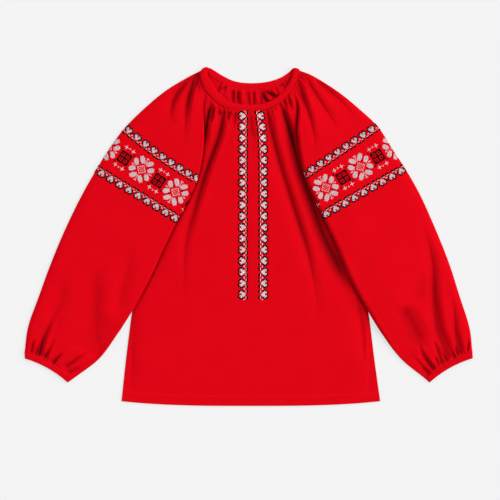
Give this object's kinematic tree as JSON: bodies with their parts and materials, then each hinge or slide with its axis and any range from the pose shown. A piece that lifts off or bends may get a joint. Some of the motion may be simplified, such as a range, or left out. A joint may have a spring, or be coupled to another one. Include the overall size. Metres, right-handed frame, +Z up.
{
  "type": "blouse",
  "caption": "Child's long-sleeved red knit blouse with a gathered round neck and raglan sleeves, embroidered, laid out flat.",
  "frame": {"origin": "on the surface that the blouse lies on, under the middle of its outline", "axes": "+Z up from the surface, +X towards the sleeve at the right as the front is seen from above, +Y from the hem to the neck"},
  "size_m": [0.7165, 0.542, 0.007],
  "materials": {
    "red_knit": "matt single-jersey knit, bright red",
    "red_binding": "matt knit binding, bright red, folded and topstitched"
  },
  "bodies": {
    "root": {"back_panel": "red_knit", "front_panel": "red_knit", "sleeve_left": "red_knit", "sleeve_right": "red_knit", "neck_binding": "red_binding", "cuff_left": "red_binding", "cuff_right": "red_binding"}
  },
  "joints": []
}
